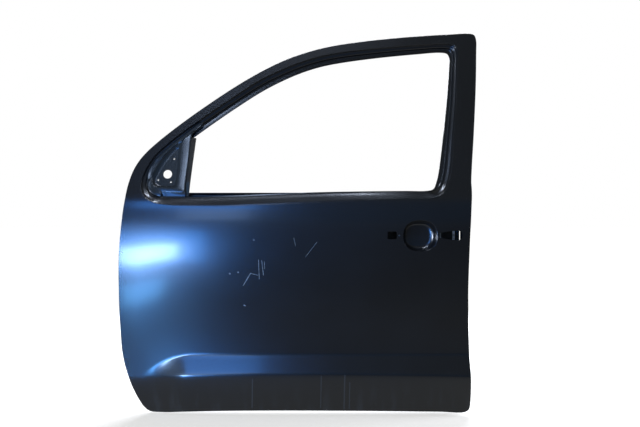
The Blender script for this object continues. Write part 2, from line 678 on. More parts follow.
class Make:
    """Mesh and modifier operations."""

    @staticmethod
    def link(name: str, bm: bmesh.types.BMesh) -> bpy.types.Object:
        """Turn a bmesh into an object in the scene."""
        mesh = bpy.data.meshes.new(name)
        bm.to_mesh(mesh)
        bm.free()
        obj = bpy.data.objects.new(name, mesh)
        bpy.context.scene.collection.objects.link(obj)
        return obj

    @staticmethod
    def bake(obj: bpy.types.Object) -> None:
        """Apply an object's modifiers."""
        graph = bpy.context.evaluated_depsgraph_get()
        mesh = bpy.data.meshes.new_from_object(obj.evaluated_get(graph))
        obj.modifiers.clear()
        old = obj.data
        obj.data = mesh
        bpy.data.meshes.remove(old)

    @staticmethod
    def drop(obj: bpy.types.Object) -> None:
        """Remove an object and its mesh."""
        mesh = obj.data
        bpy.data.objects.remove(obj)
        bpy.data.meshes.remove(mesh)

    @staticmethod
    def boolean(obj: bpy.types.Object, cutter: bpy.types.Object,
                operation: str = "DIFFERENCE") -> None:
        """Cut one object with another, which is then removed."""
        modifier = obj.modifiers.new("cut", "BOOLEAN")
        modifier.operation = operation
        modifier.solver = "EXACT"
        modifier.object = cutter
        Make.bake(obj)
        Make.drop(cutter)

    @staticmethod
    def plate(name: str, outlines: Sequence[Sequence[Point2]], low: float,
              high: float) -> bpy.types.Object:
        """Closed plate in X and Z with holes.

        Args:
            name: name of the object.
            outlines: the edge, then the holes.
            low: Y of one side.
            high: Y of the other side.

        Returns:
            The plate.
        """
        curve = bpy.data.curves.new(name, "CURVE")
        curve.dimensions = "2D"
        curve.fill_mode = "BOTH"
        curve.extrude = (high - low) / 2
        for outline in outlines:
            line = curve.splines.new("POLY")
            line.points.add(len(outline) - 1)
            for point, (x, z) in zip(line.points, outline):
                point.co = (x, z, 0.0, 1.0)
            line.use_cyclic_u = True
        shape = bpy.data.objects.new(name, curve)
        bpy.context.scene.collection.objects.link(shape)
        graph = bpy.context.evaluated_depsgraph_get()
        mesh = bpy.data.meshes.new_from_object(shape.evaluated_get(graph))
        bpy.data.objects.remove(shape)
        bpy.data.curves.remove(curve)
        bm = bmesh.new()
        bm.from_mesh(mesh)
        bpy.data.meshes.remove(mesh)
        bmesh.ops.remove_doubles(bm, verts=bm.verts, dist=1e-7)
        for vert in bm.verts:
            vert.co = Vector((vert.co.x, (low + high) / 2 - vert.co.z, vert.co.y))
        bmesh.ops.recalc_face_normals(bm, faces=bm.faces)
        return Make.link(name, bm)

    @staticmethod
    def rods(name: str, places: Iterable[Tuple[float, float, float, float]], axis: Point3,
             length: float, sides: int) -> bpy.types.Object:
        """Round cutters along one direction: places are (x, y, z, radius)."""
        bm = bmesh.new()
        turn = Vector((0, 0, 1)).rotation_difference(Vector(axis)).to_matrix()
        for x, y, z, radius in places:
            made = bmesh.ops.create_cone(bm, cap_ends=True, segments=sides, radius1=radius,
                                         radius2=radius, depth=length)
            bmesh.ops.rotate(bm, verts=made["verts"], matrix=turn, cent=(0, 0, 0))
            bmesh.ops.translate(bm, verts=made["verts"], vec=(x, y, z))
        return Make.link(name, bm)

    @staticmethod
    def window(name: str, hole: Sequence[float], reach: float,
               turn: Callable[[Vector], Vector]) -> bpy.types.Object:
        """Cutter for an opening with round corners through a wall or a floor.

        Args:
            name: name of the cutter.
            hole: the opening in its own plane.
            reach: how far the cutter stands out of that plane on each side.
            turn: where a point of that plane (x, depth, z) goes; two axes change places.

        Returns:
            The cutter.
        """
        cutter = Make.plate(name, [Outline.rounded_box(*hole)], -reach, reach)
        for vert in cutter.data.vertices:
            vert.co = turn(vert.co)
        cutter.data.flip_normals()
        return cutter

    @staticmethod
    def join(objects: Sequence[bpy.types.Object]) -> bpy.types.Object:
        """Merge the meshes of several objects into the first."""
        bm = bmesh.new()
        for obj in objects:
            bm.from_mesh(obj.data)
        first = objects[0]
        for obj in objects[1:]:
            Make.drop(obj)
        bm.to_mesh(first.data)
        bm.free()
        return first


class Sheet:
    """A pressed sheet: blank, press, folds and gauge."""

    # Thickness of the block that the blank is cut from, reach of the weld round an outline's
    # points, and most thickness at a bend, in gauges
    BLOCK = 0.01
    WELD_REACH = 0.0012
    MOST_GAUGES = 1.7

    # A point that lies this near the pressed face, or its other side, takes its true normal,
    # on faces that look the same way by at least this cosine
    ON_FACE = 1e-5
    UNDER_FACE = 0.0004
    LEAST_FACING = 0.93

    def __init__(self, name: str, side: int, gauge: float,
                 depth: Callable[[float, float], float]) -> None:
        """Start a sheet.

        Args:
            name: name of the finished object.
            side: -1 if its show side looks outboard, 1 if inboard.
            gauge: thickness, given to the side away from the show side.
            depth: depth of its pressed face as a function of the place.
        """
        self.name = name
        self.side = side
        self.gauge = gauge
        self.depth = depth
        self.bm = bmesh.new()
        self.rings: List[List[bmesh.types.BMVert]] = []

    def blank(self, columns: Sequence[float], rows: Callable[[float], List[float]],
              outlines: Sequence[Sequence[Point2]]) -> None:
        """Cut the flat blank and keep its outlines as rings of vertices."""
        count = len(rows(0.0))
        bm = bmesh.new()
        bmesh.ops.create_grid(bm, x_segments=len(columns) - 1, y_segments=count - 1, size=1.0)
        heights = {}
        for vert in bm.verts:
            i = round((vert.co.x + 1) / 2 * (len(columns) - 1))
            j = round((vert.co.y + 1) / 2 * (count - 1))
            if i not in heights:
                heights[i] = rows(columns[i])
            vert.co = Vector((columns[i], 0.0, heights[i][j]))
        extruded = bmesh.ops.extrude_face_region(bm, geom=bm.faces[:])
        raised = [v for v in extruded["geom"] if isinstance(v, bmesh.types.BMVert)]
        bmesh.ops.translate(bm, verts=raised, vec=(0, self.BLOCK, 0))
        bmesh.ops.recalc_face_normals(bm, faces=bm.faces)
        solid = Make.link(self.name + "_blank", bm)
        punch = Make.plate("outline", outlines, -self.BLOCK / 2, 1.5 * self.BLOCK)
        Make.boolean(solid, punch, "INTERSECT")
        self.bm.from_mesh(solid.data)
        Make.drop(solid)
        away = [f for f in self.bm.faces if max(abs(v.co.y) for v in f.verts) > self.ON_FACE]
        bmesh.ops.delete(self.bm, geom=away, context="FACES")
        bmesh.ops.remove_doubles(self.bm, verts=self.bm.verts, dist=1e-6)
        self._tie(outlines)

    def _tie(self, outlines: Sequence[Sequence[Point2]]) -> None:
        """Give each outline exactly its own points, and weld the grid's points on it into them."""
        border = [v for v in self.bm.verts if any(e.is_boundary for e in v.link_edges)]
        tree = KDTree(len(border))
        for i, vert in enumerate(border):
            tree.insert(vert.co, i)
        tree.balance()
        self.rings = [[border[tree.find((x, 0, z))[1]] for x, z in outline] for outline in outlines]
        fixed = {v for ring in self.rings for v in ring}
        order = list(fixed)
        near = KDTree(len(order))
        for i, vert in enumerate(order):
            near.insert(vert.co, i)
        near.balance()
        target = {v: order[near.find(v.co)[1]] for v in border if v not in fixed}
        for vert in order:
            for other in (e.other_vert(vert) for e in vert.link_edges):
                close = (other.co - vert.co).length < self.WELD_REACH
                if close and other not in fixed and other not in target:
                    target[other] = vert
        bmesh.ops.weld_verts(self.bm, targetmap=target)

    def press(self) -> None:
        """Press the blank to its depth."""
        bmesh.ops.triangulate(self.bm, faces=[f for f in self.bm.faces if len(f.verts) > 4])
        for vert in self.bm.verts:
            vert.co.y = self.depth(vert.co.x, vert.co.z)

    def fold(self, ring: List[bmesh.types.BMVert],
             places: Sequence[Point3]) -> List[bmesh.types.BMVert]:
        """Draw an edge of the sheet out to new places.

        Args:
            ring: the edge's vertices in order.
            places: one place for each of them.

        Returns:
            The new edge's vertices in the same order.
        """
        index = {v: i for i, v in enumerate(ring)}
        edges = [e for e in self.bm.edges
                 if len(e.link_faces) < 2 and e.verts[0] in index and e.verts[1] in index]
        made = bmesh.ops.extrude_edge_only(self.bm, edges=edges)
        result: List[Optional[bmesh.types.BMVert]] = [None] * len(ring)
        for vert in (v for v in made["geom"] if isinstance(v, bmesh.types.BMVert)):
            old = next(e.other_vert(vert) for e in vert.link_edges if e.other_vert(vert) in index)
            result[index[old]] = vert
        for vert, place in zip(result, places):
            if vert is not None:
                vert.co = Vector(place)
        return result

    def close(self, ring: List[bmesh.types.BMVert]) -> None:
        """Fill a ring with a floor."""
        made = bmesh.ops.contextual_create(self.bm, geom=ring)
        bmesh.ops.triangulate(self.bm, faces=made["faces"])

    def finish(self) -> bpy.types.Object:
        """Turn the sheet to its show side and give it its gauge."""
        bmesh.ops.recalc_face_normals(self.bm, faces=self.bm.faces)
        total = sum(f.normal.y * f.calc_area() for f in self.bm.faces)
        if total * self.side < 0:
            bmesh.ops.reverse_faces(self.bm, faces=self.bm.faces)
        obj = Make.link(self.name, self.bm)
        solid = obj.modifiers.new("gauge", "SOLIDIFY")
        solid.thickness = self.gauge
        solid.offset = -1.0
        solid.use_even_offset = True
        solid.use_quality_normals = True
        count = len(obj.data.vertices)
        Make.bake(obj)
        verts = obj.data.vertices
        most = self.MOST_GAUGES * self.gauge
        for outer, under in zip(verts[:count], verts[count:2 * count]):
            way = under.co - outer.co
            if way.length > most:
                under.co = outer.co + way.normalized() * most
        return obj

    def shade(self, obj: bpy.types.Object, degrees: float) -> None:
        """Smooth shading, with the pressed face's true normals where the face is untouched."""
        mesh = obj.data
        mesh.shade_smooth()
        mesh.set_sharp_from_angle(angle=math.radians(degrees))
        true: Dict[int, Vector] = {}
        for vert in mesh.vertices:
            x, y, z = vert.co
            off = (y - self.depth(x, z)) * self.side
            if abs(off) < self.ON_FACE or abs(off + self.gauge) < self.UNDER_FACE:
                true[vert.index] = Skin.normal(self.depth, x, z, self.side)
        normals = [Vector((0, 0, 0))] * len(mesh.loops)
        for poly in mesh.polygons:
            for loop in poly.loop_indices:
                normal = true.get(mesh.loops[loop].vertex_index)
                if normal is None:
                    continue
                facing = normal.dot(poly.normal)
                if abs(facing) > self.LEAST_FACING:
                    normals[loop] = normal * math.copysign(1.0, facing)
        mesh.normals_split_custom_set([tuple(n) for n in normals])


class Surround:
    """Section of the window surround and its belt."""

    CURVE_REACH = 0.30
    CURVE_STEPS = 4

    @staticmethod
    def rounded(section: Sequence[Point2]) -> List[Point2]:
        """Section with each inner corner drawn as a short curve.

        Args:
            section: points (share, depth) from the lip to the opening.

        Returns:
            The denser section; sections of the same length stay the same length.
        """
        result = [section[0]]
        for before, here, after in zip(section, section[1:], section[2:]):
            start = [Num.mix(h, b, Surround.CURVE_REACH) for h, b in zip(here, before)]
            end = [Num.mix(h, a, Surround.CURVE_REACH) for h, a in zip(here, after)]
            for t in Num.steps(0.0, 1.0, Surround.CURVE_STEPS):
                u = 1 - t
                result.append(tuple(u * u * s + 2 * u * t * h + t * t * e
                                    for s, h, e in zip(start, here, end)))
        result.append(section[-1])
        return result

    @staticmethod
    def sections() -> List[Tuple[Point2, Point2]]:
        """Matching points of the pillar's and the belt's section, lip rounding first."""
        pillar = Surround.rounded(LIP_PILLAR + PILLAR_SECTION[1:])
        belt = Surround.rounded(LIP_BELT + BELT_SECTION[1:])
        return list(zip(pillar, belt))

    @staticmethod
    def place(station: Sequence[float], pair: Tuple[Point2, Point2]) -> Point3:
        """One point of the surround at a station of the window line."""
        lip_x, lip_z, open_x, open_z, belt = station
        belt = Num.clamp(belt)
        (share_p, drop_p), (share_b, drop_b) = pair
        share = Num.mix(share_p, share_b, belt)
        x, z = Num.mix(open_x, lip_x, share), Num.mix(open_z, lip_z, share)
        on_pillar = Skin.face(x, z) + drop_p
        on_belt = Skin.face(lip_x, lip_z) + drop_b
        return (x, Num.mix(on_pillar, on_belt, belt), z)


def metres(points: Sequence[Sequence[float]]) -> List[Tuple[float, ...]]:
    """Drawn points in millimetres, turned into metres; a fifth value is kept as it is."""
    return [tuple(v * MM for v in p[:4]) + tuple(p[4:]) for p in points]


def edge_line() -> List[Point2]:
    """Outer edge of the door."""
    return Outline.spline(metres(FRONT_EDGE + ROOF_EDGE + REAR_EDGE + SILL_EDGE), EDGE_STEPS)


def window_line() -> List[Tuple[float, ...]]:
    """Stations round the window."""
    return Outline.spline(metres(WINDOW_STATIONS), WINDOW_STEPS)


def under_face(line: Sequence[Point2], below: float) -> List[Point3]:
    """Places of a line a stated depth under the outer face."""
    return [(x, Skin.face(x, z) + below, z) for x, z in line]


class OuterPanel:
    """The outer skin with its window surround, finger cup, handle openings and hem."""

    @staticmethod
    def rows(x: float) -> List[float]:
        """Heights of the skin's rows at a column, following the creases."""
        low = Skin.lower_crease(x)
        high = max(Skin.upper_crease(x), low + LEAST_BAND)
        top = Skin.shoulder_line(x) - SHOULDER_MARGIN
        turn = [CREASE_RADIUS * r for r in CREASE_ROWS]
        rows = [BLANK_LOW] + [low * share for share in SILL_ROWS] + [low + t for t in turn]
        rows += [Num.mix(low + CREASE_RADIUS, high - CREASE_RADIUS, s) for s in BAND_ROWS]
        rows += [high + t for t in turn] + Num.steps(high, WAIST_Z, HOLLOW_ROWS)[1:-1]
        rows += Num.steps(WAIST_Z, top, WAIST_ROWS)[:-1]
        rows += Num.steps(top, FRAME_Z, SHOULDER_ROWS)[:-1]
        return rows + Num.spread(FRAME_Z, BLANK_TOP_Z, FRAME_PITCH)

    @staticmethod
    def cup(share: float, depth: float) -> List[Point3]:
        """A ring of the finger cup, between its rim (0) and its floor (1)."""
        rim = Outline.squircle(*CUP_RIM, CUP_POINTS)
        floor = Outline.squircle(*CUP_FLOOR, CUP_POINTS)
        bottom = Skin.face(*CUP_RIM[:2]) + CUP_DEPTH
        ring = []
        for (rx, rz), (fx, fz) in zip(rim, floor):
            y = Num.mix(Skin.face(rx, rz), bottom, depth)
            ring.append((Num.mix(rx, fx, share), y, Num.mix(rz, fz, share)))
        return ring

    def build(self) -> bpy.types.Object:
        """Press the panel, then fold its hem, surround, cup and pierced edges."""
        edge, window = edge_line(), window_line()
        holes = [Outline.rounded_box(*ANCHOR_HOLE), Outline.circle(*PIN_HOLE), Outline.keyhole()]
        outlines = [Outline.inset(edge, EDGE_ROUND), [s[:2] for s in window],
                    Outline.squircle(*CUP_RIM, CUP_POINTS)]
        sheet = Sheet("outer_skin", -1, SKIN_GAUGE, Skin.face)
        sheet.blank(Num.spread(BLANK_LOW, BLANK_REAR_X, GRID_PITCH), self.rows, outlines + holes)
        sheet.press()
        hem, surround, cup, *pierced = sheet.rings
        for distance, below in HEM_SECTION:
            hem = sheet.fold(hem, under_face(Outline.inset(edge, distance), below))
        for pair in Surround.sections()[1:]:
            surround = sheet.fold(surround, [Surround.place(s, pair) for s in window])
        for share, depth in CUP_PROFILE:
            cup = sheet.fold(cup, self.cup(share, depth))
        sheet.close(cup)
        for ring, hole in zip(pierced, holes):
            sheet.fold(ring, under_face(Outline.inset(hole, BURR_INSET), BURR_DEPTH))
        obj = sheet.finish()
        sheet.shade(obj, SKIN_SHARP)
        return obj


class InnerPanel:
    """The inner pan and frame, with service openings and the flange held in the hem."""

    @staticmethod
    def face_holes() -> List[List[Point2]]:
        """Openings in the pan's face, those with a turned rim first."""
        holes = [Outline.circle(*SPEAKER_HOLE)]
        holes += [Outline.rounded_box(*hole) for hole in SERVICE_HOLES]
        return holes + [Outline.circle(x, z, CLIP_RADIUS, CLIP_POINTS) for x, z in CLIP_HOLES]

    @staticmethod
    def wall_line() -> List[Point2]:
        """Outline of the pan's wall at its foot."""
        edge = Outline.inset(edge_line(), FLANGE_WIDTH)
        return Outline.keep_apart([InnerPanel.on_wall(x, z) for x, z in edge], edge)

    @staticmethod
    def on_wall(x: float, z: float) -> Point2:
        """A point of the outline, kept on the flat hinge or latch wall beside it."""
        give = max(0.0, (z - SHOULDER_Z) * WALL_LEAN)
        return (Num.clamp(x, HINGE_FACE_X - give, LATCH_FACE_X + give), z)

    @staticmethod
    def grid(places: Sequence[float], fields: Sequence[Sequence[float]]) -> List[float]:
        """Lines of the pan's blank, closer where the edges of its fields slope.

        Args:
            places: places that have a line, the ends of the blank among them.
            fields: where each pressed field starts and ends.

        Returns:
            The places of the lines in order.
        """
        marks = set(places)
        for low, high in fields:
            for step in PAN_FIELD_STEPS:
                marks.update((low + step, high - step))
        marks = sorted(marks)
        result = marks[:1]
        for a, b in zip(marks, marks[1:]):
            if b - a >= LEAST_PITCH:
                result += Num.spread(a, b, PAN_PITCH)[1:]
        return result

    @staticmethod
    def surround(station: Sequence[float], share: float, drop: float, lower: float,
                 ahead: float) -> Point3:
        """A point of the inner panel round the window.

        Args:
            station: station of the window line.
            share: place between the opening (0) and the lip (1).
            drop: how far down the wall from the inner face (0) to the flange (1).
            lower: how far the belt's edge lies under its top.
            ahead: how far the belt's lip reaches outboard.

        Returns:
            The point.
        """
        lip_x, lip_z, open_x, open_z, belt = station
        belt = Num.clamp(belt)
        x, z = Num.mix(open_x, lip_x, share), Num.mix(open_z, lip_z, share)
        flange = Skin.face(x, z) + PILLAR_SECTION[-1][1] + SKIN_GAUGE + SEAT_GAP + INNER_GAUGE
        pillar_y = Num.mix(Skin.inner(x, z), flange, drop)
        belt_z = INNER_BELT_Z - lower
        belt_y = (Skin.inner(open_x, belt_z) if ahead == 0 else BELT_PLANE_DEPTH) - ahead
        return (Num.mix(x, open_x, belt), Num.mix(pillar_y, belt_y, belt), Num.mix(z, belt_z, belt))

    def build(self) -> bpy.types.Object:
        """Press the panel, fold its walls, window and rims, and cut the holes in its walls."""
        edge, window, holes, wall = edge_line(), window_line(), self.face_holes(), self.wall_line()
        drafted = Outline.inset(wall, WALL_DRAFT)
        bend_depth = PAN_ROUND * PAN_ROUND_MIDDLE
        top, bend, face_edge = (self._stay(wall, drafted, inward)
                                for inward in (0.0, bend_depth, PAN_ROUND))
        opening = [self.surround(s, PAN_OPENING_SHARE, 0.0, PAN_OPENING_DROP, 0.0)[::2]
                   for s in window]
        columns = self.grid((BLANK_LOW, BLANK_REAR_X), [field[:2] for field in PAN_FIELDS])
        rows = self.grid(PAN_ROWS, [field[2:4] for field in PAN_FIELDS])
        sheet = Sheet("inner_pan", 1, INNER_GAUGE, Skin.inner)
        sheet.blank(columns, lambda _: rows, [face_edge, opening] + holes)
        sheet.press()
        outer, belt, *rims = sheet.rings
        for line, below in ((bend, bend_depth), (top, PAN_ROUND)):
            outer = sheet.fold(outer, self._outboard(line, face_edge, below))
        foot = Outline.inset(edge, FLANGE_WIDTH - WALL_BEND_WIDTH)
        for share, above in WALL_BEND_SECTION:
            outer = sheet.fold(outer, [
                (Num.mix(x, fx, share), Skin.flange(x, z) + WALL_BEND_DEPTH * above,
                 Num.mix(z, fz, share)) for (x, z), (fx, fz) in zip(wall, foot)])
        for line in (foot, Outline.inset(edge, FLANGE_INSET)):
            outer = sheet.fold(outer, [(x, Skin.flange(x, z), z) for x, z in line])
        for fold in PAN_WINDOW_SECTION:
            belt = sheet.fold(belt, [self.surround(s, *fold) for s in window])
        for ring, hole in zip(rims[:1 + len(SERVICE_HOLES)], holes):
            for distance, below in RIM_SECTION:
                line = Outline.inset(hole, distance)
                ring = sheet.fold(ring, self._outboard(line, hole, below))
        obj = sheet.finish()
        self._walls(obj)
        sheet.shade(obj, PAN_SHARP)
        return obj

    @staticmethod
    def _stay(wall: List[Point2], drafted: List[Point2], inward: float) -> List[Point2]:
        """A line inside the drafted wall, which leaves the hinge and latch walls without draft."""
        result = []
        for (foot_x, _), (x, z) in zip(wall, Outline.inset(drafted, inward)):
            if abs(foot_x - HINGE_FACE_X) < ON_WALL:
                x = HINGE_FACE_X + inward
            elif abs(foot_x - LATCH_FACE_X) < ON_WALL:
                x = LATCH_FACE_X - inward
            result.append((x, z))
        return result

    @staticmethod
    def _outboard(line: List[Point2], over: List[Point2], way: float) -> List[Point3]:
        """Places of a line, a way outboard of the pan's face at another line's points."""
        return [(x, Skin.inner(ox, oz) - way, z) for (x, z), (ox, oz) in zip(line, over)]

    @staticmethod
    def _walls(obj: bpy.types.Object) -> None:
        """Hinge bolt holes, check link slot, harness hole, latch opening and drains."""
        pairs = ((UPPER_HINGE_Z, HINGE_BOLT_SPACING, HINGE_BOLT_RADIUS),
                 (LOWER_HINGE_Z, HINGE_BOLT_SPACING, HINGE_BOLT_RADIUS),
                 (CHECK_LINK_Z, CHECK_BOLT_SPACING, CHECK_BOLT_RADIUS))
        bolts = [(HINGE_FACE_X, HINGE_Y, z + side * spacing / 2, radius)
                 for z, spacing, radius in pairs for side in (-1, 1)]
        bolts += [(LATCH_FACE_X, y, z, LATCH_SCREW_RADIUS) for y, z in LATCH_SCREWS]
        harness = [(HINGE_FACE_X, HINGE_Y, HARNESS_Z, HARNESS_RADIUS)]
        along = (1, 0, 0)
        cutters = [Make.rods("bolts", bolts, along, CUT_DEPTH, BOLT_SIDES),
                   Make.rods("harness", harness, along, CUT_DEPTH, HARNESS_SIDES)]
        for x, hole in ((HINGE_FACE_X, CHECK_SLOT), (LATCH_FACE_X, LATCH_HOLE)):
            cutters.append(Make.window("wall", hole, CUT_DEPTH / 2,
                                       lambda co: Vector((x + co.y, co.x, co.z))))
        for x in DRAIN_PLACES:
            cutters.append(Make.window("drain", (x, *DRAIN_HOLE), CUT_DEPTH,
                                       lambda co: Vector((co.x, co.z, DRAIN_Z + co.y))))
        Make.boolean(obj, Make.join(cutters))


class MirrorBracket:
    """Triangular pressed plate in the window's front corner, with its pocket and holes."""

    @staticmethod
    def rim(x: float, z: float) -> float:
        """Depth of the bracket's rim, which lies on the surround's ledge."""
        return Skin.face(x, z) + BRACKET_RIM_DEPTH

    @staticmethod
    def pocket(x: float, z: float) -> float:
        """Depth of the pocket's floor."""
        return MirrorBracket.rim(x, z) + POCKET_DEPTH

    def build(self) -> bpy.types.Object:
        """Press the plate from its outer edge in to the pocket's floor."""
        rows = Outline.spline([tuple(v * MM for v in r) for r in MIRROR_STATIONS], BRACKET_STEPS)
        sheet = Sheet("mirror_plate", -1, BRACKET_GAUGE, self.pocket)
        bmesh.ops.create_circle(sheet.bm, cap_ends=False, segments=len(rows), radius=1.0)
        sheet.bm.verts.ensure_lookup_table()
        edge = ring = list(sheet.bm.verts)
        for vert, row in zip(edge, rows):
            vert.co = Vector((row[0], self.rim(row[0], row[1]) + BRACKET_LIFT, row[1]))
        for first, share, sink in BRACKET_PROFILE:
            ring = sheet.fold(ring, [self.station(row, first, share, sink) for row in rows])
        sheet.close(ring)
        self._leg(sheet, edge, rows)
        obj = sheet.finish()
        self._pierce(obj)
        sheet.shade(obj, BRACKET_SHARP)
        return obj

    @staticmethod
    def station(row: Sequence[float], first: int, share: float, sink: float) -> Point3:
        """A point of the bracket's section; its left side has a step of its own.

        Args:
            row: station of the bracket.
            first: 0 between the outline and the rim, 2 between the rim and the floor.
            share: share of that way.
            sink: depth under the rim, as a share of the pocket's.

        Returns:
            The point.
        """
        x = Num.mix(row[first], row[first + 2], share)
        z = Num.mix(row[first + 1], row[first + 3], share)
        left = Num.ease((LEFT_STEP_X - row[0]) / LEFT_STEP_REACH) if first == 0 else 0.0
        step = LEFT_STEP_SINK * left * Num.ease((share - LEFT_STEP_START) / LEFT_STEP_FADE)
        return (x, MirrorBracket.rim(x, z) + POCKET_DEPTH * (sink + step), z)

    @staticmethod
    def _leg(sheet: Sheet, edge: List[bmesh.types.BMVert], rows: Sequence[Sequence[float]]) -> None:
        """Tuck the plate's lower edge in behind the belt."""
        leg = [v for v, r in zip(edge, rows) if r[1] < LEG_TOP_Z and r[0] > LEG_FRONT_X]
        leg.sort(key=lambda v: v.co.x)
        places = [v.co.x for v in leg]
        for share in LEG_SHARES:
            leg = sheet.fold(leg, [belt_back(x, share) for x in places])

    def _pierce(self, obj: bpy.types.Object) -> None:
        """Cut the screw holes and the harness hole."""
        kinds = ((MIRROR_HOLES, MIRROR_HOLE_RADIUS, MIRROR_HOLE_SIDES),
                 ((MIRROR_HARNESS,), MIRROR_HARNESS_RADIUS, MIRROR_HARNESS_SIDES))
        cutters = []
        for places, radius, sides in kinds:
            rods = [(x * MM, self.pocket(x * MM, z * MM), z * MM, radius) for x, z in places]
            cutters.append(Make.rods("holes", rods, (0, 1, 0), POCKET_CUT_DEPTH, sides))
        Make.boolean(obj, Make.join(cutters))


def belt_back(x: float, share: float) -> Point3:
    """A point behind the belt band; the share runs from the opening (0) to the shoulder (1)."""
    belt = [s for s in Outline.spline(metres(WINDOW_STATIONS), BELT_STEPS) if s[4] > ON_BELT]
    lip_x, lip_z, open_x, open_z = belt[0][:4] if x < belt[0][2] else belt[-1][:4]
    for a, b in zip(belt, belt[1:]):
        if a[2] <= x <= b[2]:
            between = (x - a[2]) / (b[2] - a[2])
            lip_x, lip_z, open_x, open_z = (Num.mix(u, v, between) for u, v in zip(a[:4], b[:4]))
    depth = BELT_SECTION[-1][1]
    for (s1, d1), (s2, d2) in zip(BELT_SECTION, BELT_SECTION[1:]):
        if s2 <= max(share, 0.0) <= s1:
            depth = Num.mix(d2, d1, (max(share, 0.0) - s2) / (s1 - s2))
            break
    y = Skin.face(lip_x, lip_z) + depth + SKIN_GAUGE + 2 * SEAT_GAP
    return (Num.mix(x, x - open_x + lip_x, share), y, Num.mix(open_z, lip_z, share))


def hex_colour(code: str) -> Tuple[float, float, float, float]:
    """Linear colour of an sRGB hex code."""
    values = [int(code[i:i + 2], 16) / 255 for i in (1, 3, 5)]
    linear = [v / 12.92 if v <= 0.04045 else ((v + 0.055) / 1.055) ** 2.4 for v in values]
    return (*linear, 1.0)


class Graph:
    """Short way to write a node tree; a value is a socket, a number, a tuple or a hex colour."""

    def __init__(self, tree: bpy.types.NodeTree) -> None:
        """Keep the tree."""
        self.tree = tree

    def put(self, socket: bpy.types.NodeSocket, value: object) -> None:
        """Give an input its value."""
        if isinstance(value, bpy.types.NodeSocket):
            self.tree.links.new(value, socket)
        else:
            socket.default_value = hex_colour(value) if isinstance(value, str) else value

    def add(self, kind: str, inputs: Dict, **settings: str) -> bpy.types.Node:
        """Make a node.

        Args:
            kind: type of the node.
            inputs: values of its inputs, by name or number.
            settings: its other properties.

        Returns:
            The node.
        """
        node = self.tree.nodes.new("ShaderNode" + kind)
        for name, value in settings.items():
            setattr(node, name, value)
        for key, value in inputs.items():
            self.put(node.inputs[key], value)
        return node

    def math(self, operation: str, *values: object) -> bpy.types.NodeSocket:
        """Result of a Math node."""
        return self.add("Math", dict(enumerate(values)), operation=operation).outputs[0]

    def most(self, values: Sequence) -> bpy.types.NodeSocket:
        """Largest of several values."""
        total = values[0]
        for value in values[1:]:
            total = self.math("MAXIMUM", total, value)
        return total

    def band(self, value: object, low: float, high: float, to_low: float = 0.0,
             to_high: float = 1.0) -> bpy.types.NodeSocket:
        """Map a range of values smoothly to another."""
        inputs = {"From Min": low, "From Max": high, "To Min": to_low, "To Max": to_high,
                  "Value": value}
        return self.add("MapRange", inputs, interpolation_type="SMOOTHSTEP").outputs[0]

    def blend(self, share: object, a: object, b: object) -> bpy.types.NodeSocket:
        """Mix of two colours."""
        return self.add("Mix", {6: a, 7: b, 0: share}, data_type="RGBA").outputs[2]

    def seen(self) -> bpy.types.NodeSocket:
        """1 for what the camera sees directly, 0 for reflections and bounced light."""
        return self.add("LightPath", {}).outputs["Is Camera Ray"]


class Coat(Graph):
    """Node tree of one material, round its Principled shader."""

    def __init__(self, name: str) -> None:
        """Start a material."""
        self.material = bpy.data.materials.new(name)
        self.material.use_nodes = True
        super().__init__(self.material.node_tree)
        self.place = self.add("TexCoord", {}).outputs["Object"]

    def noise(self, scale: float, detail: float, roughness: float,
              stretch: Point3 = (1.0, 1.0, 1.0)) -> bpy.types.NodeSocket:
        """Noise on Object coordinates; the scale is in cells per metre."""
        place = self.add("Mapping", {"Scale": stretch, "Vector": self.place}).outputs[0]
        inputs = {"Scale": scale, "Detail": detail, "Roughness": roughness, "Vector": place}
        return self.add("TexNoise", inputs).outputs[0]

    def bump(self, height: object, distance: float, strength: float = 1.0) -> bpy.types.NodeSocket:
        """Bump from a height; the distance is in metres."""
        inputs = {"Strength": strength, "Distance": distance, "Height": height}
        return self.add("Bump", inputs).outputs[0]

    def finish(self, inputs: Dict[str, object]) -> bpy.types.Material:
        """Give the Principled shader its inputs."""
        shader = self.tree.nodes["Principled BSDF"]
        for name, value in inputs.items():
            self.put(shader.inputs[name], value)
        return self.material


@dataclass(frozen=True)
class PrimerLook:
    """How one coat of electrocoat primer looks."""

    name: str
    colour: str
    patch: str
    rough: float
    tint: str
    coat: float
    peel: float


class Finish(Enum):
    """The finishes on the shell."""

    SKIN = PrimerLook("skin_primer", "#090b0e", "#0d1014", 0.25, "#dbe4f4", 0.40, 0.000002)
    INSIDE = PrimerLook("inside_primer", "#12151a", "#1b1f24", 0.36, "#d3deef", 0.20, 0.000004)
    BRACKET = PrimerLook("bracket_primer", "#15191c", "#1e2326", 0.24, "#d3deef", 0.35, 0.000003)
    SASH = PrimerLook("sash_primer", "#060606", "#0c0b0a", 0.45, "#cfc4b4", 0.05, 0.000008)
    HIDDEN = PrimerLook("hidden_primer", "#0d1014", "#171b20", 0.42, "#b4c4dc", 0.10, 0.000008)


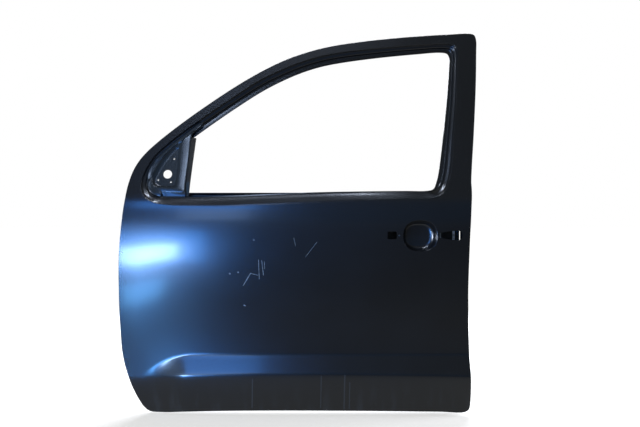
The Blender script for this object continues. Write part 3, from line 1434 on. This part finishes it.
class Paint:
    """Procedural materials; a noise is its cells per metre, detail and roughness."""

    # Primer: cloudy patches, uneven gloss, orange peel, and the marks on top
    CLOUD_NOISE = (2.3, 4.0, 0.55)
    CLOUD_BAND = (0.35, 0.70)
    CLOUD_SHARE = 0.8
    WAVER_NOISE = (9.0, 5.0, 0.6)
    WAVER = 0.06
    PEEL_NOISE = (420.0, 2.0, 0.6)
    PEEL_STRENGTH = 0.35
    DIRT_COLOUR = "#7f8890"
    DIRT_COVER = 0.90
    DIRT_ROUGHNESS = 0.25

    # Zinc spangle and mastic grain
    SPANGLE_SCALE = 160.0
    SPANGLE_BAND = (0.2, 0.8)
    SPANGLE_ROUGHNESS = (0.12, 0.30)
    GRAIN_NOISE = (650.0, 4.0, 0.6)
    GRAIN_BAND = (0.3, 0.7)
    GRAIN_HEIGHT = 0.0006

    @staticmethod
    def primer(look: PrimerLook, marks: Optional[Callable] = None) -> bpy.types.Material:
        """Dark electrocoat primer on sheet steel.

        Args:
            look: colours and gloss.
            marks: builds a mask of dirt and scuffs, or nothing.

        Returns:
            The material.
        """
        coat = Coat(look.name)
        cloud = coat.band(coat.noise(*Paint.CLOUD_NOISE), *Paint.CLOUD_BAND)
        cloud = coat.math("MULTIPLY", cloud, Paint.CLOUD_SHARE)
        fine = coat.noise(*Paint.PEEL_NOISE)
        colour = coat.blend(cloud, look.colour, look.patch)
        waver = coat.math("MULTIPLY", coat.noise(*Paint.WAVER_NOISE), Paint.WAVER)
        rough = coat.math("SUBTRACT", coat.math("ADD", look.rough, waver), Paint.WAVER / 2)
        if marks is not None:
            dirt = marks(coat)
            cover = coat.math("MULTIPLY", dirt, Paint.DIRT_COVER)
            colour = coat.blend(cover, colour, Paint.DIRT_COLOUR)
            rough = coat.math("ADD", rough, coat.math("MULTIPLY", dirt, Paint.DIRT_ROUGHNESS))
        return coat.finish({
            "Base Color": colour, "Roughness": rough, "Specular IOR Level": 0.55,
            "Specular Tint": look.tint, "Coat Weight": look.coat, "Coat Roughness": 0.12,
            "Coat IOR": 1.45, "Normal": coat.bump(fine, look.peel, Paint.PEEL_STRENGTH)})

    @staticmethod
    def zinc() -> bpy.types.Material:
        """Zinc-coated steel with spangle of about 6 mm."""
        coat = Coat("zinc_coated_steel")
        spangle = coat.add("TexVoronoi", {"Scale": Paint.SPANGLE_SCALE, "Vector": coat.place})
        shade = coat.band(spangle.outputs["Color"], *Paint.SPANGLE_BAND)
        return coat.finish({
            "Base Color": coat.blend(shade, "#6e7379", "#8d9298"), "Metallic": 1.0,
            "Roughness": coat.math("MULTIPLY_ADD", shade, *Paint.SPANGLE_ROUGHNESS)})

    @staticmethod
    def mastic() -> bpy.types.Material:
        """Matt anti-flutter mastic with a coarse grain of about 1.5 mm."""
        coat = Coat("anti_flutter_mastic")
        grain = coat.noise(*Paint.GRAIN_NOISE)
        return coat.finish({
            "Base Color": coat.blend(coat.band(grain, *Paint.GRAIN_BAND), "#2b2b2a", "#45433f"),
            "Roughness": 0.9, "Normal": coat.bump(grain, Paint.GRAIN_HEIGHT)})


class Marks:
    """Dirt, streaks and scuffs on the skin, placed in the door's own space."""

    SCUFFS = (
        ((0.386, 0.392), (0.409, 0.430), 0.0016), ((0.409, 0.430), (0.431, 0.424), 0.0012),
        ((0.434, 0.472), (0.436, 0.412), 0.0012), ((0.444, 0.470), (0.449, 0.424), 0.0012),
        ((0.452, 0.466), (0.453, 0.444), 0.0010), ((0.544, 0.540), (0.549, 0.515), 0.0008),
        ((0.615, 0.527), (0.580, 0.481), 0.0007), ((0.388, 0.330), (0.392, 0.328), 0.0020))
    DOTS = ((0.419, 0.534, 0.0035), (0.344, 0.429, 0.0030), (0.370, 0.433, 0.0028),
            (0.004, 0.494, 0.0050))
    STREAKS = ((0.413, 0.010, 0.100, 0.0028), (0.627, 0.010, 0.110, 0.0022),
               (0.700, 0.006, 0.113, 0.0030), (0.716, 0.006, 0.090, 0.0022))


    # Breaks in the scuffs, dust and runs above the sill, and the shapes of dots and streaks
    GRAIN_NOISE = (260.0, 5.0, 0.75)
    GRAIN_BAND = (0.40, 0.62)
    GRAIN_COVER = (0.65, 0.35)
    DUST_BAND = (0.115, -0.01, 0.0, 0.04)
    RUN_NOISE = (30.0, 3.0, 0.6, (1.0, 1.0, 0.06))
    RUN_BAND = (0.48, 0.75)
    DOT_LENGTH = 0.0005
    STREAK_LEAN = 0.002
    STREAK_COVER = 0.07
    SOFT_EDGE = 0.35

    @staticmethod
    def skin(coat: Coat) -> bpy.types.NodeSocket:
        """Mask of all the marks."""
        across, _, up = coat.add("SeparateXYZ", {0: coat.place}).outputs
        place = (coat.math("ADD", across, DATUM.x), coat.math("ADD", up, DATUM.z))
        grain = coat.band(coat.noise(*Marks.GRAIN_NOISE), *Marks.GRAIN_BAND)
        scuffs = [Marks._line(coat, place, *scuff) for scuff in Marks.SCUFFS]
        for x, z, radius in Marks.DOTS:
            scuffs.append(Marks._line(coat, place, (x, z), (x + Marks.DOT_LENGTH, z), radius))
        broken = coat.math("MULTIPLY_ADD", grain, *Marks.GRAIN_COVER)
        marks = [coat.math("MULTIPLY", coat.most(scuffs), broken)]
        for x, low, high, half in Marks.STREAKS:
            streak = Marks._line(coat, place, (x, low), (x + Marks.STREAK_LEAN, high), half)
            marks.append(coat.math("MULTIPLY", streak, Marks.STREAK_COVER))
        dust = coat.band(place[1], *Marks.DUST_BAND)
        runs = coat.band(coat.noise(*Marks.RUN_NOISE), *Marks.RUN_BAND)
        return coat.most(marks + [coat.math("MULTIPLY", dust, runs)])

    @staticmethod
    def _line(coat: Coat, place: Tuple[bpy.types.NodeSocket, bpy.types.NodeSocket], start: Point2,
              end: Point2, half: float) -> bpy.types.NodeSocket:
        """Mask of a straight mark.

        Args:
            coat: material that gets the nodes.
            place: X and Z in the door's own space.
            start: one end of the mark.
            end: its other end.
            half: half of its width.

        Returns:
            The mask.
        """
        math_node = coat.math
        dx, dz = end[0] - start[0], end[1] - start[1]
        length2 = dx * dx + dz * dz
        px, pz = (math_node("SUBTRACT", value, first) for value, first in zip(place, start))
        along = math_node("MULTIPLY", px, dx / length2)
        along = math_node("MULTIPLY_ADD", pz, dz / length2, along)
        along = math_node("MINIMUM", math_node("MAXIMUM", along, 0.0), 1.0)
        ox, oz = (math_node("SUBTRACT", value, math_node("MULTIPLY", along, way))
                  for value, way in ((px, dx), (pz, dz)))
        square = math_node("MULTIPLY_ADD", ox, ox, math_node("MULTIPLY", oz, oz))
        return coat.band(math_node("SQRT", square), half, half * Marks.SOFT_EDGE)


@dataclass(frozen=True)
class Softbox:
    """A soft light, placed in the door's own space; it may light the shell alone."""

    name: str
    place: Point3
    target: Point3
    size: Tuple[float, float]
    power: float
    colour: str
    shell_only: bool = True


# Lights that draw the reflections on the shell, then the two that light the whole room
LIGHTS = (
    Softbox("window_left", (-0.235, -1.13, 0.326), (0.085, 0.0, 0.48), (0.3, 0.13), 9.0, "#b2d6fb"),
    Softbox("window_low", (-0.26, -1.13, 0.08), (0.085, 0.0, 0.35), (0.26, 0.10), 2.4, "#68b8ff"),
    Softbox("window_glow", (-0.50, -2.3, 0.16), (0.085, 0.0, 0.40), (0.66, 0.60), 27.0, "#2b8df5"),
    Softbox("sky_panel", (-0.12, -2.4, 0.88), (0.20, 0.0, 0.72), (0.50, 0.34), 4.0, "#8fb2e2"),
    Softbox("spot_above", (0.45, -0.62, 2.45), (0.45, 0.0, 0.66), (0.80, 0.10), 16.0, "#eef4ff"),
    Softbox("strip_upper", (-0.26, -2.4, 1.22), (0.25, 0.0, 0.20), (0.9, 0.34), 12.0, "#4a92f0"),
    Softbox("window_corner", (0.14, -2.0, 2.10), (0.17, 0.0, 0.75), (0.34, 0.34), 6.0, "#c4d6f2"),
    Softbox("glint_left", (-2.0, -1.3, 0.62), (1.0, 0.0, 0.6), (0.35, 0.60), 60.0, "#e6eefc"),
    Softbox("soft_back", (0.9, 2.8, 1.9), (0.55, 0.1, 0.5), (2.4, 1.6), 150.0, "#f3f6ff", False),
    Softbox("soft_side", (3.4, 0.6, 1.6), (1.0, 0.1, 0.5), (1.4, 1.4), 30.0, "#f3f6ff", False))


class Studio:
    """Floor, lights, world and camera."""

    # What the camera takes in at the skin, from where, and the floor and room round the shell
    VIEW_WIDTH = 640 * 0.0031
    VIEW_DISTANCE = 3.2
    VIEW_PLACE = Vector((0.625, -VIEW_DISTANCE, 0.616))
    SENSOR_WIDTH = 36.0
    FLOOR_HALF_SIZE = 40.0
    FLOOR_GAP = 0.016
    FLOOR_GLOW = 0.62
    FLOOR_PALES = (1.0, 6.0)
    FLOOR_GLOW_BAND = (-1.5, -0.3, 0.22, 0.95)
    ROOM_COLOURS = ((0.0, "#7d8288"), (0.02, "#5f6d7b"), (0.20, "#617080"), (0.40, "#79786f"),
                    (1.0, "#5c5a52"))

    def build(self, shell: Sequence[bpy.types.Object]) -> None:
        """Set up the stage round the shell's pieces."""
        self._floor()
        self._world()
        self._camera()
        lit = bpy.data.collections.new("shell_pieces")
        for piece in shell:
            lit.objects.link(piece)
        for light in LIGHTS:
            self._area(light, lit)
        bpy.context.scene.view_settings.view_transform = "Standard"

    def _floor(self) -> None:
        """Wide pale floor, a few millimetres under the shell; reflections of it are darker."""
        bm = bmesh.new()
        bmesh.ops.create_grid(bm, x_segments=8, y_segments=8, size=self.FLOOR_HALF_SIZE)
        bmesh.ops.translate(bm, verts=bm.verts, vec=(0.0, 0.0, -DATUM.z - self.FLOOR_GAP))
        floor = Make.link("floor", bm)
        coat = Coat("pale_floor")
        seen = coat.seen()
        x, y, _ = coat.add("SeparateXYZ", {0: coat.place}).outputs
        glow = coat.band(y, *self.FLOOR_GLOW_BAND)
        glow = coat.math("MULTIPLY", coat.math("SUBTRACT", 1.0, seen), glow)
        away = coat.math("SQRT", coat.math("MULTIPLY_ADD", x, x, coat.math("MULTIPLY", y, y)))
        white = coat.band(away, *self.FLOOR_PALES, self.FLOOR_GLOW, 1.0)
        floor.data.materials.append(coat.finish({
            "Base Color": coat.blend(seen, "#55544d", "#f2f2f0"), "Roughness": 0.9,
            "Specular IOR Level": 0.1, "Emission Color": coat.blend(seen, "#b5b1a6", "#ffffff"),
            "Emission Strength": coat.math("MULTIPLY_ADD", seen, white, glow)}))

    def _world(self) -> None:
        """White to the camera; soft room light, coloured by height, to all else."""
        world = bpy.data.worlds.new("studio")
        world.use_nodes = True
        graph = Graph(world.node_tree)
        way = graph.add("TexCoord", {}).outputs["Generated"]
        height = graph.add("SeparateXYZ", {0: way}).outputs[2]
        ramp = graph.add("ValToRGB", {0: height})
        stops = ramp.color_ramp.elements
        for position, _ in self.ROOM_COLOURS[1:-1]:
            stops.new(position)
        for stop, (_, code) in zip(stops, self.ROOM_COLOURS):
            stop.color = hex_colour(code)
        background = graph.tree.nodes["Background"]
        graph.put(background.inputs["Color"], graph.blend(graph.seen(), ramp.outputs[0], "#ffffff"))
        graph.put(background.inputs["Strength"], 1.0)
        bpy.context.scene.world = world

    def _camera(self) -> None:
        """Camera at the photograph's viewing angle and distance."""
        data = bpy.data.cameras.new("camera")
        data.lens = self.SENSOR_WIDTH / self.VIEW_WIDTH * self.VIEW_DISTANCE
        camera = bpy.data.objects.new("camera", data)
        bpy.context.scene.collection.objects.link(camera)
        camera.location = self.VIEW_PLACE - DATUM
        camera.rotation_euler = (math.pi / 2, 0.0, 0.0)
        bpy.context.scene.camera = camera

    @staticmethod
    def _area(light: Softbox, lit: bpy.types.Collection) -> None:
        """One soft area light, unseen by the camera."""
        data = bpy.data.lights.new(light.name, "AREA")
        data.shape = "RECTANGLE"
        data.size, data.size_y = light.size
        data.energy = light.power
        data.color = hex_colour(light.colour)[:3]
        lamp = bpy.data.objects.new(light.name, data)
        bpy.context.scene.collection.objects.link(lamp)
        lamp.location = Vector(light.place) - DATUM
        way = Vector(light.target) - Vector(light.place)
        lamp.rotation_mode = "QUATERNION"
        lamp.rotation_quaternion = way.to_track_quat("-Z", "Y")
        lamp.visible_camera = False
        if light.shell_only:
            lamp.light_linking.receiver_collection = lit


class DoorScene:
    """Builds the whole scene."""

    def __init__(self, loaded: dict) -> None:
        """Keep the loaded frame."""
        self.nodes: Dict[str, bpy.types.Object] = loaded["nodes"]

    def build(self) -> None:
        """Make the pieces, the materials and the studio."""
        looks = {look: Paint.primer(look.value) for look in Finish if look is not Finish.SKIN}
        finer = ((OuterPanel(), "outer_panel", Paint.primer(Finish.SKIN.value, Marks.skin)),
                 (InnerPanel(), "inner_panel", looks[Finish.INSIDE]),
                 (MirrorBracket(), "mirror_bracket", looks[Finish.BRACKET]))
        pieces = []
        for maker, node, paint in finer:
            pieces.append(maker.build())
            self._replace(pieces[-1], node, paint)
        zinc = Paint.zinc()
        kinds = (("mastic", Paint.mastic()), ("sash", looks[Finish.SASH]), ("weld_nut", zinc),
                 ("handle_reinforcement", zinc), ("", looks[Finish.HIDDEN]))
        for name, node in self.nodes.items():
            paint = next(paint for part, paint in kinds if part in name)
            node.data.materials.clear()
            node.data.materials.append(paint)
        Studio().build(pieces + list(self.nodes.values()))

    @staticmethod
    def _replace(piece: bpy.types.Object, node: str, material: bpy.types.Material) -> None:
        """Put a finer piece in the place of a node of the solid model."""
        for vert in piece.data.vertices:
            vert.co -= DATUM
        piece.data.materials.clear()
        piece.data.materials.append(material)
        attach(piece, "root")
        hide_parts(node)
        log.info("%s: %d vertices", piece.name, len(piece.data.vertices))


def main() -> None:
    """Build the scene."""
    logging.basicConfig(level=logging.INFO, format="%(name)s: %(message)s")
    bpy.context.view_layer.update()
    DoorScene(frame).build()
    bpy.context.view_layer.update()


if __name__ == "__main__":
    main()
